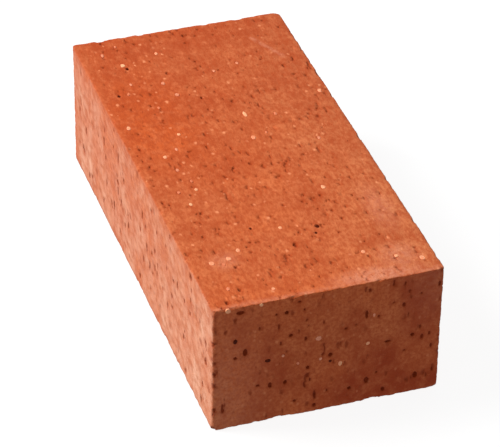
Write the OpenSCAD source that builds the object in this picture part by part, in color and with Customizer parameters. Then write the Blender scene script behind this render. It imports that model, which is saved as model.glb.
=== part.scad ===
// Solid wire-cut clay brick with its aggregate grains.
// The origin is the centre of the bottom bed. X runs along the length, Y across the width, Z is up.
// The clay was pushed upwards (Z) out of a die, so tears in its four sides run along Z.
// The two beds were cut by a wire that moved along X, so drag marks there run along X.

/* [Brick] */
// Length over the two headers
brick_l = 194; // [194:1:240]
// Width over the two stretchers
brick_w = 92; // [92:1:115]
// Height over the two beds
brick_h = 57; // [57:1:71]
// Radius that the die leaves on the four upright corners
corner_r = 1.5; // [1:0.5:3]

/* [Scattered marks] */
// Size of the square that holds one scattered mark
scatter_pitch = 12; // [11:1:20]
// Share of the squares that hold a mark
scatter_share = 0.6; // [0.2:0.1:0.8]
// Smallest width of a scattered mark
mark_min = 1.2; // [1:0.1:1.4]
// Largest width of a scattered mark
mark_max = 2; // [1.6:0.1:3]
// Seed of the scattered marks' places and shapes
scatter_seed = 7; // [1:1:40]

/* [Arrises] */
// Spacing of the small chips along the arrises
chip_pitch = 31; // [24:1:60]
// How far a small chip reaches into each of its two faces
chip_reach = 0.8; // [0.4:0.1:1.2]

/* [Hidden] */

// The faces whose marks are spread by a rule. On the other three each mark has its own place.
// Places on a bed are [X, Y], on a header [Y, Z] and on a stretcher [X, Z].
SCATTER_FACES = ["bottom_bed", "far_header", "right_stretcher"];
// Kinds of scattered mark. An empty pit is the commonest, so it is there more than once.
KINDS = ["pit", "quartz", "pit", "ironstone", "pit", "grog", "pit"];

// Sides of a crumb's outline, and how far its corners may come in
crumb_sides = 7;
crumb_dent = 0.28;
// How deep a pit and a grain's seat go, as a share of the mark's smaller width
pit_depth = 0.6;
seat_depth = 0.75;
// A tear or drag mark is this many times longer than it is wide, at most
stretch_max = 3;
// Clear distances for scattered marks: to an arris, and around a face's centre
arris_gap = 3.5;
centre_gap = 7;

// The marks that stand out, each [place, place, size along the first, size along the second].
top_pits = [
    [-94, -34, 2.2, 1.3], [-92, 37, 1.5, 1.2], [-90, 1, 2.5, 1.5], [-85, 42, 2, 1.2], [-84, 3, 2, 1],
    [-80, -27, 1.8, 1], [-76, -38, 2, 1.2], [-69, 27, 2, 1], [-65, 1, 2, 1.2], [-64, -14, 2.5, 1.4],
    [-60, -39, 1.5, 1], [-59, 24, 1.5, 1.2], [-55, 14, 2, 1], [-55, 34, 3.5, 1.3], [-50, -6, 2, 1],
    [-49, -2, 2.5, 1], [-49, -10, 1.5, 1], [-42, -6, 3, 1], [-34, -25, 2.5, 1], [-33, -6, 2.5, 1.2],
    [-31, -15, 2.5, 1], [-18, 32, 3, 1.2], [-16, 24, 2.5, 1], [-13, -41, 2.5, 1.2], [-13, -5, 2.5, 1],
    [-9, -43, 1.5, 1], [-7, -15, 4, 1], [-3, -6, 4.5, 1], [-3, 11, 3, 1], [2, 12, 1.5, 1],
    [3, 21, 4.5, 1], [7, 7, 4, 1], [8, 27, 5.5, 1.4], [10, -9, 2.5, 1.2], [11, 30, 2.5, 1],
    [12, 9, 2, 1], [13, -43, 1.5, 1.2], [14, -8, 2, 1], [16, 24, 3, 1], [18, -23, 1.5, 1],
    [21, -17, 3, 1], [23, -31, 1.8, 1.3], [25, -43, 2.5, 1.2], [27, -41, 1.8, 1], [27, 23, 2, 1.2],
    [28, -3, 3, 1], [28, -11, 2, 1.2], [28, -15, 9, 0.9], [36, -31, 2.2, 1.4], [38, 17, 2, 1.2],
    [40, -31, 2, 1], [40, 1, 2.2, 1.2], [40, 9, 2.2, 1.2], [41, -35, 1.5, 1], [44, 21, 3, 1],
    [46, -6, 1.5, 1], [48, 24, 4, 1.2], [49, 18, 2.5, 1.2], [50, -11, 3, 1], [51, -35, 2, 1.2],
    [55, 20, 2.5, 1.2], [57, 12, 1.5, 1], [58, 4, 1.8, 1.2], [59, -38, 2, 1.2], [59, 1, 2.2, 1.2],
    [60, 12, 1.2, 1], [62, -21, 2, 1.2], [63, 5, 1.5, 1.2], [63, 12, 1.5, 1], [66, -3, 4, 1.5],
    [69, -17, 6, 0.9], [71, 25, 1.8, 1.2], [73, -29, 2, 1.5], [73, 31, 2, 1], [74, -8, 4, 0.9],
    [80, -1, 2.2, 1.1], [81, 21, 2, 1.2], [87, -32, 2.5, 1.4], [88, -1, 2.5, 1.1], [93, -39, 2.6, 1.6]
];
top_ironstone = [
    [-72, -29, 2, 1.3], [-53, -38, 1.8, 1.3], [57, 9, 2.2, 1.6], [61, 7, 1.5, 1.1], [51, -16, 1.6, 1.1]
];
top_quartz = [
    [-80, -14, 2.2, 1.2], [-75, -30, 2.4, 1.6], [-33, 42, 2.6, 1.4], [-25, 7, 4, 1.2], [-8, 5, 3, 1.6],
    [-19, -23, 1.8, 1.1], [-5, -33, 2.2, 1.5], [-29, -41, 2.6, 1.5], [20, -28, 1.8, 1.1],
    [29, -33, 2, 1.1], [33, 20, 2.4, 1.5], [54, -5, 1.8, 1.2], [63, -25, 2.2, 1.4],
    [67, -30, 2.4, 1.6], [68, -37, 2.4, 1.8], [78, 20, 2.2, 1.5], [84, 31, 2, 1.4], [88, 40, 3, 1.8],
    [90, -20, 1.6, 1.2]
];
top_grog = [
    [-90, -29, 2, 1.2], [-85, -36, 2.6, 1.3], [-63, 16, 2, 1.3], [-60, -31, 2.2, 1.2], [-60, 5, 2, 1.2],
    [-57, -18, 2.4, 1.4], [-53, -34, 1.8, 1.2], [-47, -15, 2.4, 1.8], [-40, -25, 2.2, 1.2],
    [-22, 19, 2.2, 1.2], [-10, 11, 2, 1.2], [-9, -27, 2.6, 1.2], [0, 30, 2.4, 1.4], [5, -31, 2.2, 1.3],
    [14, -28, 2, 1.2], [20, -35, 2, 1.3], [70, -33, 2, 1.6], [85, -36, 2.4, 1.4]
];
header_pits = [
    [-45, 10, 1.5, 2.6], [-45, 27, 1.5, 2.6], [-37, 33, 1.6, 1.8], [-35, 54, 4, 1.8], [-33, 35, 1.8, 4],
    [-28, 18, 2, 1.4], [-23, 17, 1.8, 3], [-21, 50, 1.2, 1.5], [-20, 44, 1, 6], [-19, 36, 1.2, 3],
    [-17, 17, 1.8, 2.4], [-17, 50, 1.8, 1.8], [-15, 39, 2, 1.6], [-13, 7, 2, 1.4], [-12, 54, 2, 1.4],
    [-10, 50, 1.2, 1.6], [-9, 36, 1.5, 3], [-8, 42, 1.2, 1.4], [-8, 22, 1.8, 2], [-7, 16, 1.2, 3],
    [-5, 8, 1.4, 7], [-5, 3, 1.6, 2.4], [-2, 42, 1, 3.6], [0, 9, 1.2, 2], [1, 26, 2, 2.4],
    [5, 31, 1.8, 1.2], [7, 37, 1.8, 1.4], [9, 8, 1.8, 2], [11, 38, 1.2, 1.6], [15, 42, 1.6, 5],
    [16, 10, 2, 4], [16, 53, 1.4, 2.6], [20, 40, 1.4, 2], [20, 13, 1.4, 1.4], [23, 4, 1.8, 2.4],
    [24, 27, 4, 1.4], [30, 43, 1.6, 3], [30, 53, 1.1, 3], [31, 21, 1.4, 1.2], [32, 49, 1.2, 3],
    [32, 38, 1.1, 4], [34, 28, 1.8, 2], [36, 8, 2, 3.4], [37, 31, 1.2, 3], [37, 47, 1.2, 1.5],
    [38, 26, 1.5, 4], [41, 27, 1.2, 3], [42, 21, 1.2, 2.6], [43, 9, 1.3, 3], [44, 50, 1.2, 3]
];
header_ironstone = [[-37, 41, 1.6, 2.2], [-24, 29, 2.8, 1.6], [1, 23, 1.4, 1.2]];
header_grog = [
    [-18, 30, 1.4, 1.4], [-12, 25, 1.4, 1.6], [-4, 35, 2.8, 2.2], [-3, 25, 1.4, 1.8], [18, 41, 1.2, 2]
];
header_quartz = [[-40, 56, 2, 1.8], [-27, 56, 1.5, 1.2], [5, 21, 1.4, 2.4], [16, 28, 1.4, 1.4]];
stretcher_pits = [
    [-82, 15, 1.2, 4], [-77, 26, 1.2, 5], [-73, 6, 1.5, 4], [-69, 8, 1.3, 3], [-51, 8, 1.2, 5],
    [-49, 39, 1.2, 6], [-48, 45, 1.1, 3.4], [-47, 32, 1.2, 3], [-46, 20, 1.2, 5], [-35, 16, 1.5, 5],
    [-30, 34, 1.1, 3], [-28, 44, 1, 7], [-24, 25, 1.1, 4.6], [-20, 38, 1.2, 3], [-19, 17, 1.1, 4],
    [-14, 20, 1.4, 5], [2, 6, 1.4, 4], [3, 30, 1.1, 2.6], [6, 39, 1.2, 6], [7, 18, 1.2, 4],
    [12, 27, 1.5, 5], [16, 21, 1.5, 6], [19, 29, 1.1, 4], [20, 20, 1.1, 3], [23, 25, 1.2, 5],
    [23, 33, 1.4, 3], [26, 24, 1.2, 4], [26, 44, 1.4, 2.4], [27, 29, 1.2, 3], [38, 46, 1.1, 3],
    [39, 36, 1.4, 2.4], [40, 19, 1.2, 4], [46, 22, 1.4, 2.4], [53, 38, 1.2, 6], [61, 19, 1.2, 4],
    [62, 37, 1.1, 2], [70, 43, 1.2, 3], [71, 48, 1.2, 2.6], [83, 5, 1.4, 5], [85, 14, 1.1, 3]
];

// The larger chips: [direction from the centre, place along the arris, size in X, Y and Z].
// A 0 in the direction is the axis that the arris runs along. With no 0 the chip is at a corner.
large_chips = [
    [[1, 0, 1], -39, [1.4, 10, 1.4]], [[0, 1, 1], -46, [6, 2, 1.8]], [[-1, 0, 1], 27, [2, 5, 2]],
    [[-1, 0, 1], -34, [2.2, 4, 2]], [[0, -1, 1], 10, [5, 1.8, 1.4]], [[1, -1, -1], 0, [3, 3, 4]],
    [[-1, -1, -1], 0, [2.6, 3, 2.6]], [[-1, 1, 1], 0, [2.4, 2.4, 2]], [[-1, 1, -1], 0, [3, 4, 2.4]],
    [[1, 0, -1], -20, [1.8, 9, 1.8]], [[1, 0, -1], 18, [1.8, 7, 1.6]], [[0, -1, -1], 38, [5, 2, 2]]
];
// The arrises that also get small chips, as directions from the centre.
ARRISES = [
    [0, 1, 1], [0, -1, 1], [0, 1, -1], [0, -1, -1],
    [1, 0, 1], [-1, 0, 1], [1, 0, -1], [-1, 0, -1]
];

// Size of a face, along its first place and its second
function face_size(face) =
    face == "top_bed" || face == "bottom_bed" ? [brick_l, brick_w] :
    face == "near_header" || face == "far_header" ? [brick_w, brick_h] : [brick_l, brick_h];
// Centre of a face, in the same two places
function face_centre(face) =
    face == "top_bed" || face == "bottom_bed" ? [0, 0] : [0, brick_h / 2];
// Whether the marks on a face are drawn out along its first place
function marks_run_first(face) = face == "top_bed" || face == "bottom_bed";

// A mark is [face, kind, place, size].
function named_marks(face, kind, rows) = [for (m = rows) [face, kind, [m[0], m[1]], [m[2], m[3]]]];
chosen_marks = concat(
    named_marks("top_bed", "pit", top_pits),
    named_marks("top_bed", "ironstone", top_ironstone),
    named_marks("top_bed", "quartz", top_quartz),
    named_marks("top_bed", "grog", top_grog),
    named_marks("near_header", "pit", header_pits),
    named_marks("near_header", "ironstone", header_ironstone),
    named_marks("near_header", "grog", header_grog),
    named_marks("near_header", "quartz", header_quartz),
    named_marks("left_stretcher", "pit", stretcher_pits)
);

// Scattered marks: one at most in each square of a grid over the face, moved about inside its square
function scattered_marks(index) =
    let (
        face = SCATTER_FACES[index],
        room = face_size(face) - [2, 2] * arris_gap,
        columns = floor(room[0] / scatter_pitch),
        rows = floor(room[1] / scatter_pitch),
        square = [room[0] / columns, room[1] / rows],
        dice = rands(0, 1, 6 * columns * rows, scatter_seed + 50 * index)
    )
    [
        for (column = [0 : columns - 1], row = [0 : rows - 1])
            let (
                first = 6 * (column * rows + row),
                kind = KINDS[floor(len(KINDS) * dice[first + 1])],
                width = mark_min + (mark_max - mark_min) * pow(dice[first + 2], 2),
                drawn = kind == "pit" ? 1 + (stretch_max - 1) * dice[first + 3] : 1.2,
                size = marks_run_first(face) ? [width * drawn, width] : [width, width * drawn],
                slack = square - size - [1, 1] * 1.5,
                cell = [column - (columns - 1) / 2, row - (rows - 1) / 2],
                shift = [slack[0] * (dice[first + 4] - 0.5), slack[1] * (dice[first + 5] - 0.5)],
                place = face_centre(face) + [cell[0] * square[0], cell[1] * square[1]] + shift
            )
            if (dice[first] < scatter_share && norm(place - face_centre(face)) > centre_gap)
                [face, kind, place, size]
    ];
marks = concat(chosen_marks, [for (index = [0 : len(SCATTER_FACES) - 1]) each scattered_marks(index)]);

// Puts its children on a face: first place, second place, and outwards as their X, Y and Z
module on_face(face) {
    if (face == "top_bed")
        translate([0, 0, brick_h]) children();
    if (face == "bottom_bed")
        mirror([0, 0, 1]) children();
    if (face == "near_header")
        translate([brick_l / 2, 0, 0]) rotate([90, 0, 90]) children();
    if (face == "far_header")
        mirror([1, 0, 0]) translate([brick_l / 2, 0, 0]) rotate([90, 0, 90]) children();
    if (face == "left_stretcher")
        translate([0, -brick_w / 2, 0]) rotate([90, 0, 0]) children();
    if (face == "right_stretcher")
        mirror([0, 1, 0]) translate([0, -brick_w / 2, 0]) rotate([90, 0, 0]) children();
}

// A rough oval outline with flat sides
module crumb_outline(width, height, reaches) {
    step = 360 / crumb_sides;
    polygon([
        for (corner = [0 : crumb_sides - 1])
            let (turn = corner * step + step / 3, reach = reaches[corner] / 2)
            [width * reach * cos(turn), height * reach * sin(turn)]
    ]);
}

// An angular lump, centred on the origin: where three rough oval bars cross
module crumb(size, seed) {
    reaches = rands(1 - crumb_dent, 1, 3 * crumb_sides, seed);
    function some(first) = [for (corner = [0 : crumb_sides - 1]) reaches[first + corner]];
    intersection() {
        linear_extrude(size[2] * 2, center = true)
            crumb_outline(size[0], size[1], some(0));
        rotate([90, 0, 0]) linear_extrude(size[1] * 2, center = true)
            crumb_outline(size[0] * 1.3, size[2], some(crumb_sides));
        rotate([90, 0, 90]) linear_extrude(size[0] * 2, center = true)
            crumb_outline(size[1] * 1.3, size[2], some(2 * crumb_sides));
    }
}

// The crumb of one mark, half in the clay
module mark_crumb(index) {
    place = marks[index][2];
    size = marks[index][3];
    depth = (marks[index][1] == "pit" ? pit_depth : seat_depth) * min(size);
    on_face(marks[index][0])
        translate([place[0], place[1], 0])
            crumb([size[0], size[1], 2 * depth], scatter_seed * 1000 + index);
}

// All grains of one kind, cut flush with the faces
module grains(kind) {
    for (index = [0 : len(marks) - 1])
        if (marks[index][1] == kind)
            intersection() {
                mark_crumb(index);
                block();
            }
}

// A point on an arris or a corner: direction is the row of large_chips
function arris_point(direction, along) = [
    direction[0] == 0 ? along : direction[0] * brick_l / 2,
    direction[1] == 0 ? along : direction[1] * brick_w / 2,
    direction[2] == 0 ? along : brick_h / 2 * (1 + direction[2])
];

// The larger chips, each where it was chosen
module chosen_chips() {
    for (index = [0 : len(large_chips) - 1])
        let (chip = large_chips[index])
            translate(arris_point(chip[0], chip[1])) crumb(chip[2] * 1.2, 100 + index);
}

// Small chips along the arrises, spread by a rule
module small_chips() {
    for (index = [0 : len(ARRISES) - 1])
        let (
            direction = ARRISES[index],
            length = direction[0] == 0 ? brick_l : brick_w,
            count = floor((length - 20) / chip_pitch),
            dice = rands(0, 1, 2 * count, scatter_seed + 500 + index)
        )
            for (chip = [0 : count - 1])
                let (
                    along = (chip - (count - 1) / 2) * chip_pitch + (dice[chip] - 0.5) * chip_pitch / 3,
                    wide = chip_reach * (3 + 4 * dice[count + chip]),
                    deep = 2.4 * chip_reach
                )
                    translate(arris_point(direction, along))
                        crumb(
                            direction[0] == 0 ? [wide, deep, deep] : [deep, wide, deep],
                            700 + 20 * index + chip
                        );
}

// The plain block, before anything is cut from it
module block() {
    linear_extrude(brick_h) {
        square([brick_l - 2 * corner_r, brick_w], center = true);
        square([brick_l, brick_w - 2 * corner_r], center = true);
        for (x = [-1, 1], y = [-1, 1])
            translate([x * (brick_l / 2 - corner_r), y * (brick_w / 2 - corner_r)])
                circle(corner_r, $fn = 48);
    }
}

// The fired clay, with its chips, its open pits and a seat for each grain
module clay_body() {
    color("#c95c38")
        difference() {
            block();
            for (index = [0 : len(marks) - 1])
                mark_crumb(index);
            chosen_chips();
            small_chips();
        }
}

// White, cream and pale pink grains of quartz
module quartz_grains() {
    color("#f0d9c4") grains("quartz");
}

// Buff and orange grains of crushed fired clay
module grog_grains() {
    color("#dd8f62") grains("grog");
}

// Dark grains of burnt ironstone
module ironstone_grains() {
    color("#4a2418") grains("ironstone");
}

clay_body();
quartz_grains();
grog_grains();
ironstone_grains();
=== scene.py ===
import itertools
import math

import bpy
import numpy as np
from mathutils import Matrix, Vector
from mathutils.kdtree import KDTree


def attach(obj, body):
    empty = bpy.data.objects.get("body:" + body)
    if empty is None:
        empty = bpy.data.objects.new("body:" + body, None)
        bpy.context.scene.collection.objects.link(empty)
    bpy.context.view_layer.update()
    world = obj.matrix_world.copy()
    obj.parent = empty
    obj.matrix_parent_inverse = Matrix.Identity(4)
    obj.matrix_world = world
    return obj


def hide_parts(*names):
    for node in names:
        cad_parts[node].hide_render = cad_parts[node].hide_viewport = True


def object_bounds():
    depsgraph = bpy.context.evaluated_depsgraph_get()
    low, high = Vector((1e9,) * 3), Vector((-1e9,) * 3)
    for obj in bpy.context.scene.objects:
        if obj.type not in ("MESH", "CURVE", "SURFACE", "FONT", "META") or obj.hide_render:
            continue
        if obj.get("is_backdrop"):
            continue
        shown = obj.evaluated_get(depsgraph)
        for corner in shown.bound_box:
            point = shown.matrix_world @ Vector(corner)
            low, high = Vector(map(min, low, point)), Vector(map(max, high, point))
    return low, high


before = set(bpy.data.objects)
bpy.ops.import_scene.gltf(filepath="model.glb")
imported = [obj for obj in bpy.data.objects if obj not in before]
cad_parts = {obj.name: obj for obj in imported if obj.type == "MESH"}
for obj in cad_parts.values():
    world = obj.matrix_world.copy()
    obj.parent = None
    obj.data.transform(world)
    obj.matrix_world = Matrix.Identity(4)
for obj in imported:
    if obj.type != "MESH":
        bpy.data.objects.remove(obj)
cad_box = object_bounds()

# All lengths below are in millimetres unless a name ends in _m. Blender itself is in metres.
MM = 0.001
LOW, HIGH = (np.array(corner) / MM for corner in cad_box)
CENTRE = (LOW + HIGH) / 2
HALF = (HIGH - LOW) / 2
CORNER_R = 1.5
# Width of the even quads that each piece is remade of
BODY_VOXEL = 0.35
GRAIN_VOXEL = 0.16
# Widths of one bump of drag and of tearing: along X where the wire cut, along Z where the die pressed
BED_DRAG = (16.0, 1.7, 16.0)
DIE_DRAG = (5.5, 3.2, 15.0)
BED_TEAR = (3.0, 1.2, 3.0)
DIE_TEAR = (2.4, 1.5, 4.5)
# How deep each kind of wear goes, and how far in from an arris or an upright corner its wear reaches
ROUGH_DEPTH = 0.05
BOW_DEPTH = 0.10
BED_DRAG_DEPTH = 0.10
DIE_DRAG_DEPTH = 0.06
TEAR_DEPTH = 0.4
ARRIS_REACH = 0.6
# Width of the band within which a point is pushed along its face, so that pits have ragged outlines
RAGGED_BAND = 0.9
# Triangles that the clay body is thinned to
BODY_FACES = 190000
GRAINS = ("quartz_grains", "grog_grains", "ironstone_grains")
# Dusty patches on the top bed: X, Y, their reach along each, and how strong they are
BLOOMS = ((94, 20, 9, 26, 0.6), (84, 32, 12, 12, 0.35), (68, -32, 9, 9, 0.25), (52, 36, 22, 9, 0.25))
# A faint scratch on the top bed, from one X, Y to another
SCRATCH = ((-80, 28), (-62, 36.5))
# A point whose hollow attribute is above this counts as inside a pit
IN_PIT = 0.4
# A distance in millimetres that is past every effect below
FAR = 99.0
# How far one step of a material's seed moves its pattern, in bumps
SEED_SHIFT = 7.3


# ---------------------------------------------------------------- random values over points

def lattice(cells, seed):
    """A repeatable random number from 0 to 1 for each row of three whole numbers."""
    x, y, z = cells.astype(np.int64).astype(np.uint64).T
    mixed = x * np.uint64(0x9E3779B97F4A7C15) + y * np.uint64(0xC2B2AE3D27D4EB4F)
    mixed += z * np.uint64(0x165667B19E3779F9) + np.uint64(seed * 0x27D4EB2F165667)
    for shift in (31, 29, 32):
        mixed ^= mixed >> np.uint64(shift)
        mixed *= np.uint64(0xBF58476D1CE4E5B9)
    return (mixed >> np.uint64(40)).astype(float) / 2**24


def noise(points, size, seed):
    """Smooth random values from 0 to 1. size is the width of one bump, as one number or three."""
    where = points / size
    cell = np.floor(where)
    part = where - cell
    part = part * part * (3 - 2 * part)
    total = np.zeros(len(points))
    for corner in itertools.product((0, 1), repeat=3):
        weight = np.where(np.array(corner) == 1, part, 1 - part).prod(axis=1)
        total += weight * lattice(cell + corner, seed)
    return total


def layered(points, size, seed, layers=3):
    """Noise at several sizes, each half as wide and half as strong as the one before."""
    total, strength = 0.0, 0.5
    for layer in range(layers):
        total = total + strength * noise(points, np.array(size) / 2**layer, seed + layer)
        strength /= 2
    return total / (1 - strength * 2)


def ramp(value, start, end):
    """0 before start, 1 after end, smooth between."""
    part = np.clip((value - start) / (end - start), 0, 1)
    return part * part * (3 - 2 * part)


# ---------------------------------------------------------------- mesh helpers

def read_points(mesh):
    """The mesh's vertices in millimetres, and their normals."""
    points = np.empty(len(mesh.vertices) * 3, np.float32)
    mesh.vertices.foreach_get("co", points)
    normals = np.empty(len(mesh.vertices) * 3, np.float32)
    mesh.vertex_normals.foreach_get("vector", normals)
    return points.reshape(-1, 3).astype(float) / MM, normals.reshape(-1, 3).astype(float)


def write_points(mesh, points):
    """Puts the vertices at these millimetre positions, kept inside the CAD box."""
    kept = np.clip(points, LOW, HIGH) * MM
    mesh.vertices.foreach_set("co", kept.astype(np.float32).ravel())
    mesh.update()


def write_attribute(mesh, name, values):
    """Stores one number per vertex, for the material to read."""
    layer = mesh.attributes.new(name, "FLOAT", "POINT")
    layer.data.foreach_set("value", np.asarray(values, np.float32))


def applied(piece, kind, **settings):
    """Adds a modifier and makes its result the piece's mesh."""
    modifier = piece.modifiers.new(kind.lower(), kind)
    for name, value in settings.items():
        setattr(modifier, name, value)
    with bpy.context.temp_override(object=piece, active_object=piece):
        bpy.ops.object.modifier_apply(modifier=modifier.name)


def added(name, data):
    """A new object in the scene."""
    made = bpy.data.objects.new(name, data)
    bpy.context.scene.collection.objects.link(made)
    return made


def copy_of(node, name, voxel):
    """A new piece with the CAD node's shape, remade of even quads one voxel wide."""
    piece = added(name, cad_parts[node].data.copy())
    piece.data.materials.clear()
    applied(piece, "REMESH", mode="VOXEL", voxel_size=voxel * MM, use_smooth_shade=True)
    return piece


def place_on_brick(points):
    """How deep each point is, how far it is from a bed's arris and from an upright corner, and if a bed
    is its nearest face.
    """
    sides = HALF[:2] - np.abs(points[:, :2] - CENTRE[:2])
    reach = np.clip(CORNER_R - sides, 0, None)
    in_corner = (reach > 0).all(axis=1)
    rounded = np.clip(CORNER_R - np.linalg.norm(reach, axis=1), 0, None)
    to_sides = np.where(in_corner, rounded, sides.min(axis=1))
    to_corner = np.where(in_corner, 0, np.clip(sides.max(axis=1) - CORNER_R, 0, None))
    to_beds = HALF[2] - np.abs(points[:, 2] - CENTRE[2])
    depth = np.minimum(to_beds, to_sides)
    return depth, np.maximum(to_beds, to_sides), to_corner, to_beds < to_sides


# ---------------------------------------------------------------- pieces

def make_clay_body():
    """The fired clay: torn die skin on the sides, wire drag on the beds, and worn arrises."""
    piece = copy_of("clay_body", "brick_clay", BODY_VOXEL)
    points, normals = read_points(piece.data)
    inward = wear_depth(points)
    sideways = np.stack([noise(points, 1.3, 61 + axis) for axis in range(3)], axis=1) - 0.5
    sideways -= normals * (sideways * normals).sum(axis=1)[:, None]
    to_arris = place_on_brick(points)[1]
    sideways *= (RAGGED_BAND * ramp(to_arris, 1.0, 2.0))[:, None]
    write_points(piece.data, points + sideways - normals * inward[:, None])

    faces = sum(len(polygon.vertices) - 2 for polygon in piece.data.polygons)
    applied(piece, "DECIMATE", ratio=BODY_FACES / faces)
    store_shades(piece)
    return piece


def wear_depth(points):
    """How far firing, drag, tears and knocks have taken each point in from the plain block."""
    _, to_arris, to_corner, on_bed = place_on_brick(points)
    clear = ramp(to_arris, 0.5, 1.5) * np.where(on_bed, 1, ramp(to_corner, 0.2, 1.2))
    rough = ROUGH_DEPTH * layered(points, 2.4, 11)
    bow = BOW_DEPTH * noise(points, 34.0, 21)
    drag = np.where(on_bed, noise(points, BED_DRAG, 31), noise(points, DIE_DRAG, 32))
    torn = np.where(on_bed, layered(points, BED_TEAR, 41, 2), layered(points, DIE_TEAR, 42, 2) + 0.04)
    patches = ramp(noise(points, 13.0, 45), 0.2, 0.8)
    tear = ramp(torn + 0.10 * patches, 0.84, 0.95) * clear
    nibble = layered(points, 2.6, 51) ** 3 + 0.6 * layered(points, 1.2, 55) ** 4
    knocks = ramp(layered(points, 3.2, 57, 2), 0.62, 0.9)
    arris = np.exp(-to_arris / ARRIS_REACH) * (0.03 + 1.0 * nibble + 0.7 * knocks)
    corner = np.where(on_bed, 0, np.exp(-to_corner / ARRIS_REACH) * (0.6 * nibble + 0.5 * knocks))
    drag_depth = np.where(on_bed, BED_DRAG_DEPTH, DIE_DRAG_DEPTH)
    return rough + bow + drag_depth * drag**2 + TEAR_DEPTH * tear + arris + corner


def store_shades(piece):
    """Writes what the clay's colour depends on: hollows and their rims, how it was fired, the die's skin with
    painted sheen, dusty bloom, and painted light and shade on the headers and along the arrises.
    """
    points = read_points(piece.data)[0]
    depth, to_arris, _, on_bed = place_on_brick(points)
    x, y, z = ((points - CENTRE) / HALF).T
    by_stretcher = (1 - np.abs(y)) * HALF[1] < (1 - np.abs(x)) * HALF[0]
    faces = [on_bed, by_stretcher & ~on_bed]
    patch = layered(points, (12.0, 12.0, 20.0), 81) - 0.5
    hollow = hollows(points, depth, to_arris)
    to_pit = gaps(points, points[hollow > IN_PIT], np.ones(len(points), bool))
    shades = {
        "hollow": hollow,
        # Near a pit, for a darker ring over its walls and lip that is partly painted shade
        "rim": ramp(to_pit, 1.3, 0.1),
        "shade": np.clip(firing_shade(points, x, y, faces), 0, 1),
        # Darker patches from the fire, darker towards the -X end; on the headers also painted shade
        "burnt": np.clip(burnt_and_shade_share(x, y, z, faces, patch), 0, 1),
        # The die's skin on the stretchers, which also holds painted sheen: the paleness of light glancing off
        # them
        "skin_and_sheen": np.clip(skin_and_sheen_share(x, z, patch), 0, 1),
        # Painted shade along the arrises between the beds and stretchers, dimming the light that their
        # rounded edges catch
        "arris": np.exp(-to_arris / 0.8) * by_stretcher,
        "bloom": bloom(points) * on_bed,
        # On the headers only: painted light towards the -Y corner, and a paler patch high up by the +Y corner
        "pale": np.where(by_stretcher | on_bed, 0, header_light_and_dust(y, z)),
    }
    for name, values in shades.items():
        write_attribute(piece.data, name, values)


def hollows(points, depth, to_arris):
    """1 deep in a pit and 0 on the faces, along the arrises and in a grain's seat."""
    hollow = ramp(depth, 0.22, 0.50) * ramp(to_arris, 0.5, 1.3)
    return hollow * ramp(gaps(points, grain_points(), hollow > 0), 0.5, 1.0)


def firing_shade(points, x, y, faces):
    """From deep to light orange. x and y run from -1 to 1 over the brick, here and in the next three."""
    drift = layered(points, 34.0, 71) - 0.5
    glow = ramp(np.hypot((x + 0.35) / 0.7, (y + 0.7) / 0.6), 1.0, 0.0)
    return 0.50 + 0.9 * drift + np.select(faces, [0.3 * y + 0.33 * y**2 - 0.8 * glow, 0.15 * x], 0)


def burnt_and_shade_share(x, y, z, faces, patch):
    """How much darker the clay is: in patches from the fire that are strongest on the headers, and towards
    the -X end; on a header also painted shade, darker towards its +Y side and its foot.
    """
    # On the headers, painted shade: darker towards the +Y side, and there towards the foot
    low = -0.32 * z * ramp(y, -1, 0)
    across = np.select(faces, [0.27 - 0.30 * x, 0.20 - 0.26 * x], 0.28 + 0.32 * y + low)
    return across + np.select(faces, [0.8, 1.0], 2.2) * patch


def skin_and_sheen_share(x, z, patch):
    """How thick the die's skin and the painted sheen on it are: patchy, and thinner by the beds."""
    thick = 0.62 + 0.14 * x - 0.12 * z + 0.14 * ramp(np.abs(x + 0.6), 0.3, 0.0)
    return thick + 1.3 * patch - 0.2 * ramp(z, 0.75, 1.0) - 0.25 * ramp(-z, 0.8, 1.0)


def header_light_and_dust(y, z):
    """Painted light on a header: lighter towards its -Y corner, less so higher up; and paler high up by its
    +Y corner.
    """
    upper = ramp(z, -0.2, 0.8)
    return 0.22 * ramp(-y, 0.3, 1.0) * (1 - 0.6 * upper) + 0.16 * ramp(y, 0.5, 1.0) * upper


def grain_points():
    """The vertices of every grain, in millimetres."""
    return np.concatenate([read_points(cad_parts[node].data)[0] for node in GRAINS])


def gaps(points, others, asked):
    """How far each asked point is from the nearest of the others, and FAR for the rest."""
    tree = KDTree(len(others))
    for index, other in enumerate(others):
        tree.insert(other, index)
    tree.balance()
    found = np.full(len(points), FAR)
    for index in np.flatnonzero(asked):
        found[index] = tree.find(points[index])[2]
    return found


def bloom(points):
    """The dusty patches, the scratch and the worn strip by the near header, all on the top bed, 0 to 1."""
    shown = np.zeros(len(points))
    for x, y, reach_x, reach_y, strength in BLOOMS:
        far = np.hypot((points[:, 0] - x) / reach_x, (points[:, 1] - y) / reach_y)
        shown = np.maximum(shown, strength * ramp(far, 1.0, 0.0))
    start, end = np.array(SCRATCH)
    along = np.clip(((points[:, :2] - start) @ (end - start)) / ((end - start) @ (end - start)), 0, 1)
    off = np.linalg.norm(points[:, :2] - start - along[:, None] * (end - start), axis=1)
    shown = np.maximum(shown, 0.3 * ramp(off, 1.4, 0.1))
    shown = np.maximum(shown, 0.3 * ramp(points[:, 0], HIGH[0] - 3, HIGH[0] - 1))
    return shown * (points[:, 2] > CENTRE[2])


def make_grains(node, seed, growth):
    """A group of grains, roughened, and grown by growth to fill the seats that they were fired into."""
    piece = copy_of(node, node.replace("_grains", "_specks"), GRAIN_VOXEL)
    points, normals = read_points(piece.data)
    swell = growth + 0.3 * (layered(points, 1.1, seed) - 0.5)
    write_points(piece.data, points + normals * swell[:, None])
    return piece


# ---------------------------------------------------------------- materials

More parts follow.
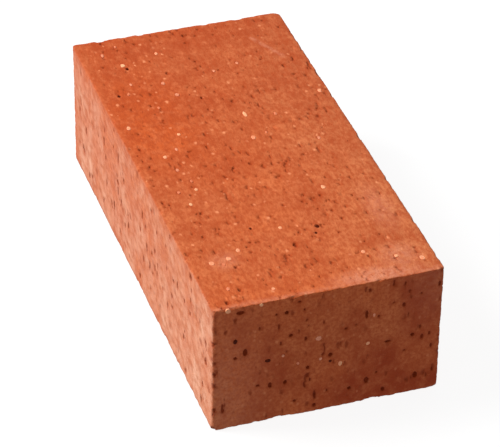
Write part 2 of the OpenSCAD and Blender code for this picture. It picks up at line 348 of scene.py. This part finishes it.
class Surface:
    """A node material in the making. Each call adds a node and returns its output."""

    def __init__(self, name):
        self.material = bpy.data.materials.new(name)
        self.material.use_nodes = True
        self.tree = self.material.node_tree
        self.shader = self.tree.nodes["Principled BSDF"]
        place = self.add("ShaderNodeTexCoord").outputs["Object"]
        self.mm = self.scaled(place, (1 / MM,) * 3)

    def add(self, kind, **inputs):
        """Adds a node. Each input is a value or another node's output; _ stands for a space."""
        made = self.tree.nodes.new(kind)
        for name, value in inputs.items():
            self.put(made.inputs[name.replace("_", " ")], value)
        return made

    def put(self, socket, value):
        """Links an output to a socket, or sets the socket's own value."""
        if isinstance(value, bpy.types.NodeSocket):
            self.tree.links.new(value, socket)
        else:
            socket.default_value = value

    def scaled(self, vector, factors, shift=(0.0, 0.0, 0.0)):
        """The vector times three factors, and moved by shift."""
        made = self.tree.nodes.new("ShaderNodeVectorMath")
        made.operation = "MULTIPLY_ADD"
        for socket, given in zip(made.inputs, (vector, factors, shift)):
            self.put(socket, given)
        return made.outputs["Vector"]

    def place(self, size, seed):
        """Where on the brick, counted in bumps of size millimetres, as one number or three."""
        size = size if isinstance(size, tuple) else (size,) * 3
        return self.scaled(self.mm, tuple(1 / side for side in size), (seed * SEED_SHIFT,) * 3)

    def noise(self, size, detail=2.0, rough=0.5, seed=0):
        """Noise whose bumps are size millimetres wide, as one number or three."""
        place = self.place(size, seed)
        made = self.add("ShaderNodeTexNoise", Vector=place, Scale=1.0, Detail=detail, Roughness=rough)
        return made.outputs["Fac"]

    def grit(self, size, share, seed=0):
        """Scattered crumbs of their own width and strength, in share of the cells of this size at most."""
        place = self.place(size, seed)
        bend = self.add("ShaderNodeTexNoise", Vector=place, Scale=2.2, Detail=2.0).outputs["Color"]
        place = self.scaled(bend, (0.5,) * 3, place)
        cells = self.add("ShaderNodeTexVoronoi", Vector=place, Scale=1.0)
        dice = self.tree.nodes.new("ShaderNodeSeparateColor")
        self.put(dice.inputs[0], cells.outputs["Color"])
        width = self.step(dice.outputs[0], 0.0, 1.0, 0.14, 0.38)
        near = self.step(self.math("DIVIDE", cells.outputs["Distance"], width), 1.2, 0.2)
        held = self.step(dice.outputs[1], share, share * 0.4)
        return self.math("MULTIPLY", near, held)

    def math(self, operation, first, second=0.0):
        """One piece of arithmetic on two numbers, or on the first alone where it needs only one."""
        made = self.tree.nodes.new("ShaderNodeMath")
        made.operation = operation
        self.put(made.inputs[0], first)
        self.put(made.inputs[1], second)
        return made.outputs[0]

    def step(self, value, start, end, low=0.0, high=1.0):
        """A smooth change from low at start to high at end."""
        made = self.tree.nodes.new("ShaderNodeMapRange")
        made.interpolation_type = "SMOOTHSTEP"
        for socket, given in zip(made.inputs, (value, start, end, low, high)):
            self.put(socket, given)
        return made.outputs["Result"]

    def mix(self, share, first, second):
        """Second over first, by share."""
        made = self.tree.nodes.new("ShaderNodeMix")
        made.data_type = "RGBA"
        sockets = [socket for socket in made.inputs if socket.type == "RGBA"]
        self.put(made.inputs[0], share)
        self.put(sockets[0], first)
        self.put(sockets[1], second)
        return [socket for socket in made.outputs if socket.type == "RGBA"][0]

    def either(self, share, first, second):
        """The first number where share is 1, the second where it is 0."""
        made = self.tree.nodes.new("ShaderNodeMix")
        self.put(made.inputs[0], share)
        self.put(made.inputs[2], second)
        self.put(made.inputs[3], first)
        return made.outputs[0]

    def face_masks(self):
        """1 on the beds and 0 on the sides, then 1 on the stretchers and 0 elsewhere."""
        centred = self.scaled(self.mm, (1.0,) * 3, tuple(-float(middle) for middle in CENTRE))
        split = self.tree.nodes.new("ShaderNodeSeparateXYZ")
        self.put(split.inputs[0], centred)
        to_faces = [
            self.math("SUBTRACT", float(half), self.math("ABSOLUTE", place))
            for half, place in zip(HALF, split.outputs)
        ]
        ragged = self.step(self.noise(1.4), 0.3, 0.7, -0.35, 0.35)
        to_header, to_stretcher, to_bed = to_faces
        to_side = self.math("MINIMUM", to_header, to_stretcher)
        bed = self.step(self.math("SUBTRACT", to_side, to_bed), -0.25, 0.35)
        others = self.math("MINIMUM", to_header, self.math("ADD", to_bed, ragged))
        stretcher = self.step(self.math("SUBTRACT", others, to_stretcher), -0.2, 0.6)
        return bed, stretcher

    def attribute(self, name):
        """A number stored on the mesh's vertices."""
        made = self.tree.nodes.new("ShaderNodeAttribute")
        made.attribute_name = name
        return made.outputs["Fac"]

    def bump(self, height, rise_m, under=None):
        """Bends the normal as if the surface rose by rise_m metres where height goes from 0 to 1."""
        made = self.add("ShaderNodeBump", Height=height, Distance=rise_m, Strength=1.0)
        if under is not None:
            self.put(made.inputs["Normal"], under)
        return made.outputs["Normal"]

    def finish(self, **inputs):
        """Sets the shader's sockets and gives the material."""
        for name, value in inputs.items():
            self.put(self.shader.inputs[name.replace("_", " ")], value)
        return self.material


def rgb(red, green, blue):
    """A linear colour with full alpha."""
    return (red, green, blue, 1.0)


# The clay where it is dull, in a streak or between crumbs
DULL_CLAY = rgb(0.45, 0.065, 0.016)


def fired_clay():
    """Matt orange-red clay: mottled; paler where the die skinned it, with painted sheen on the stretchers;
    dark in its pits and tears, partly painted shade; painted shade along its arrises, and painted light and
    shade on the headers.
    """
    clay = Surface("fired_clay")
    bed, stretcher = clay.face_masks()
    streak = clay.either(bed, clay.noise((14.0, 1.8, 14.0), 3.0), clay.noise((4.2, 2.6, 9.0), 1.0))
    # Tears: dark marks with only a bump for depth, their dark partly the torn clay and partly painted shade
    # of small pits
    torn = clay.either(bed, clay.grit((3.2, 2.2, 3.2), 0.22, 8), clay.grit((5.5, 3.2, 6.0), 0.9, 9))
    torn = clay.math("MULTIPLY", torn, clay.step(clay.noise(16.0, 2.0, 0.5, 10), 0.36, 0.60, 0.3, 1.0))
    grain = clay.noise(0.5, 3.0, 0.6)

    colour = body_colour(clay, bed, streak)
    # Paler on the stretchers: the die's skin and a painted grazing sheen
    skin_and_sheen = clay.math("MULTIPLY", clay.attribute("skin_and_sheen"), clay.step(streak, 0.25, 0.75, 1.0, 0.7))
    colour = clay.mix(clay.math("MULTIPLY", stretcher, skin_and_sheen), colour, skin_and_sheen_colour(clay))
    colour = marked(clay, colour, bed, stretcher, torn)
    normal = clay.bump(streak, clay.either(bed, 0.10 * MM, 0.05 * MM))
    normal = clay.bump(grain, 0.16 * MM, normal)
    normal = clay.bump(clay.math("SUBTRACT", 1.0, torn), 0.2 * MM, normal)
    return clay.finish(
        Base_Color=colour,
        Roughness=clay.step(grain, 0.3, 0.7, 0.74, 0.94),
        Normal=normal,
        Specular_IOR_Level=0.06,
        Sheen_Weight=0.03,
        Sheen_Roughness=0.4,
    )


def body_colour(clay, bed, streak):
    """The clay under its skin: firing shade, darker burnt patches with painted shade on the headers,
    mottling, pale and dull crumbs, and drag streaks.
    """
    colour = clay.mix(clay.attribute("shade"), rgb(0.62, 0.070, 0.004), rgb(0.62, 0.210, 0.090))
    colour = clay.mix(0.45, colour, rgb(0.80, 0.210, 0.066))
    # Darker burnt clay, which on the headers also holds painted shade
    colour = clay.mix(clay.attribute("burnt"), colour, rgb(0.40, 0.052, 0.014))
    dull = clay.step(clay.noise(7.0, 4.0, 0.6, 1), 0.38, 0.70, 0.0, 0.4)
    colour = clay.mix(dull, colour, rgb(0.46, 0.070, 0.017))
    dusty = clay.step(clay.noise(4.0, 4.0, 0.6, 2), 0.42, 0.70, 0.0, 0.4)
    colour = clay.mix(dusty, colour, rgb(0.80, 0.230, 0.088))
    colour = clay.mix(clay.step(streak, 0.40, 0.72, 0.0, 0.22), colour, DULL_CLAY)
    fine = clay.step(clay.noise((2.2, 1.3, 1.3), 3.0, 0.6, 3), 0.36, 0.66, 0.0, 0.6)
    colour = clay.mix(fine, colour, DULL_CLAY)
    crumb = clay.math("MULTIPLY", clay.grit((3.2, 2.2, 2.6), 0.25, 4), clay.either(bed, 0.8, 0.35))
    return clay.mix(crumb, colour, rgb(0.94, 0.33, 0.15))


def skin_and_sheen_colour(clay):
    """The die's skin, with the painted sheen of light glancing off the stretchers: pinkish buff, with duller
    and dirtier patches.
    """
    streak = clay.step(clay.noise((9.0, 6.0, 10.0), 2.0, 0.6, 5), 0.32, 0.68)
    colour = clay.mix(streak, rgb(0.90, 0.47, 0.31), rgb(0.82, 0.34, 0.20))
    dirt = clay.step(clay.noise((5.0, 2.6, 3.6), 3.0, 0.6, 6), 0.40, 0.68, 0.0, 0.75)
    return clay.mix(dirt, colour, rgb(0.56, 0.17, 0.075))


def marked(clay, colour, bed, stretcher, torn):
    """Adds painted shade along the arrises, dusty bloom, painted light on the headers, tears and the dark of
    the pits, which are partly painted shade.
    """
    # Painted shade along the arrises by the stretchers
    arris_shade = clay.math("MULTIPLY", clay.attribute("arris"), 0.55)
    colour = clay.mix(arris_shade, colour, rgb(0.44, 0.11, 0.045))
    dust = clay.step(clay.noise(1.8, 4.0, 0.7, 7), 0.30, 0.65, 0.25, 1.0)
    # On the beds the dusty bloom; on the headers painted light and a paler patch
    bloom = clay.either(bed, clay.attribute("bloom"), clay.attribute("pale"))
    colour = clay.mix(clay.math("MULTIPLY", bloom, dust), colour, rgb(0.92, 0.41, 0.26))
    # Dark tears: torn clay and painted shade of small pits, weakest on the beds and strongest on the headers
    tears_and_shade = clay.math("MULTIPLY", torn, clay.either(bed, 0.45, clay.either(stretcher, 0.65, 0.9)))
    colour = clay.mix(tears_and_shade, colour, rgb(0.28, 0.034, 0.005))
    # A broken dark ring over each pit's walls and lip: darker clay and painted shade
    rim_patches = clay.step(clay.noise(1.1, 2.0, 0.5, 11), 0.30, 0.60, 0.45, 1.0)
    rim = clay.math("MULTIPLY", clay.attribute("rim"), clay.math("MULTIPLY", rim_patches, 0.6))
    colour = clay.mix(rim, colour, rgb(0.34, 0.045, 0.008))
    # Dark in the pits: darker clay and painted shade, stronger on the sides than on the beds
    pit_clay_and_shade = clay.math("MULTIPLY", clay.attribute("hollow"), clay.either(bed, 0.4, 0.85))
    return clay.mix(pit_clay_and_shade, colour, rgb(0.23, 0.024, 0.003))


def quartz():
    """Cream to pale pink mineral, faintly glassy."""
    stone = Surface("quartz")
    tint = stone.step(stone.noise(4.0, 0.0), 0.35, 0.65)
    colour = stone.mix(tint, rgb(0.97, 0.44, 0.22), rgb(0.96, 0.31, 0.15))
    cloud = stone.noise(0.7, 3.0)
    colour = stone.mix(stone.step(cloud, 0.4, 0.7, 0.0, 0.5), colour, rgb(0.98, 0.62, 0.36))
    return stone.finish(
        Base_Color=colour,
        Roughness=stone.step(cloud, 0.3, 0.7, 0.5, 0.8),
        Normal=stone.bump(cloud, 0.1 * MM),
        Specular_IOR_Level=0.12,
    )


def grog():
    """Buff to orange crushed fired clay."""
    stone = Surface("grog")
    tint = stone.step(stone.noise(4.5, 0.0), 0.35, 0.65)
    colour = stone.mix(tint, rgb(0.82, 0.22, 0.09), rgb(0.88, 0.32, 0.17))
    crumb = stone.noise(0.45, 3.0)
    colour = stone.mix(stone.step(crumb, 0.35, 0.7, 0.0, 0.6), colour, rgb(0.66, 0.16, 0.06))
    return stone.finish(
        Base_Color=colour,
        Roughness=stone.step(crumb, 0.3, 0.7, 0.7, 0.9),
        Normal=stone.bump(crumb, 0.15 * MM),
    )


def ironstone():
    """Dark burnt mineral, with a little shine on its broken faces."""
    stone = Surface("ironstone")
    burnt = stone.noise(0.6, 3.0)
    colour = stone.mix(stone.step(burnt, 0.35, 0.7), rgb(0.05, 0.006, 0.001), rgb(0.16, 0.016, 0.003))
    return stone.finish(
        Base_Color=colour,
        Roughness=stone.step(burnt, 0.3, 0.7, 0.6, 0.85),
        Normal=stone.bump(burnt, 0.15 * MM),
        Specular_IOR_Level=0.05,
    )


def pale_floor():
    """Plain pale paper. Most of its white is its own glow, which keeps the shadow on it faint."""
    paper = Surface("pale_floor")
    fibre = paper.noise(30.0, 2.0)
    return paper.finish(
        Base_Color=paper.mix(fibre, rgb(0.17, 0.17, 0.17), rgb(0.18, 0.18, 0.18)),
        Roughness=0.9,
        Specular_IOR_Level=0.2,
        Emission_Color=rgb(1.0, 1.0, 1.0),
        Emission_Strength=0.89,
    )


# ---------------------------------------------------------------- studio

def make_camera():
    """Stands off the near left corner, looking down at the top bed."""
    azimuth, elevation, roll = math.radians(71.04), math.radians(35.59), math.radians(0.92)
    distance, slide, rise = 1132.0, 1.5, 17.06
    back = Vector((
        math.sin(azimuth) * math.cos(elevation),
        -math.cos(azimuth) * math.cos(elevation),
        math.sin(elevation),
    ))
    level = Vector((math.cos(azimuth), math.sin(azimuth), 0))
    upright = back.cross(level)
    right = level * math.cos(roll) + upright * math.sin(roll)
    up = upright * math.cos(roll) - level * math.sin(roll)
    camera = added("camera", bpy.data.cameras.new("camera"))
    camera.data.lens = 198.74
    camera.data.sensor_width = 36.0
    place = (back * distance + right * slide + up * rise) * MM
    camera.matrix_world = Matrix.Translation(place) @ Matrix((right, up, back)).transposed().to_4x4()
    bpy.context.scene.camera = camera


def make_light(name, direction, distance_m, size_m, watts):
    """A square soft light that faces the brick."""
    lamp = bpy.data.lights.new(name, "AREA")
    lamp.shape = "SQUARE"
    lamp.size = size_m
    lamp.energy = watts
    light = added(name, lamp)
    away = Vector(direction).normalized()
    light.location = away * distance_m
    light.rotation_mode = "QUATERNION"
    light.rotation_quaternion = away.to_track_quat("Z", "Y")


def make_floor():
    """A wide pale floor, a hair below the brick so that the two don't share a plane."""
    mesh = bpy.data.meshes.new("floor")
    reach_m = 6.0
    below_m = 0.0001
    corners = [(x * reach_m, y * reach_m, -below_m) for x, y in ((-1, -1), (1, -1), (1, 1), (-1, 1))]
    mesh.from_pydata(corners, [], [(0, 1, 2, 3)])
    floor = added("floor", mesh)
    mesh.materials.append(pale_floor())
    floor.visible_diffuse = False
    floor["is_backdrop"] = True


def make_studio():
    """Soft light from the left and behind, and an even white surround."""
    scene = bpy.context.scene
    scene.view_settings.view_transform = "Standard"
    scene.world = bpy.data.worlds.new("surround")
    scene.world.use_nodes = True
    surround = scene.world.node_tree.nodes["Background"]
    surround.inputs["Color"].default_value = rgb(1.0, 1.0, 1.0)
    surround.inputs["Strength"].default_value = 0.365
    make_light("key", (-0.35, -0.66, 0.67), distance_m=1.6, size_m=0.9, watts=31.2)


make_camera()
make_studio()
make_floor()

clay_body = make_clay_body()
clay_body.data.materials.append(fired_clay())
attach(clay_body, "root")
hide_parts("clay_body")

for node, finish, slot, seed, growth in (
    ("quartz_grains", quartz, "quartz", 61, 0.22),
    ("grog_grains", grog, "grog", 71, 0.08),
    ("ironstone_grains", ironstone, "ironstone", 81, 0.0),
):
    grains = make_grains(node, seed, growth)
    grains.data.materials.append(finish())
    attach(grains, "root")
    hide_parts(node)

boxes = [[list(corner) for corner in box] for box in (cad_box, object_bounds())]
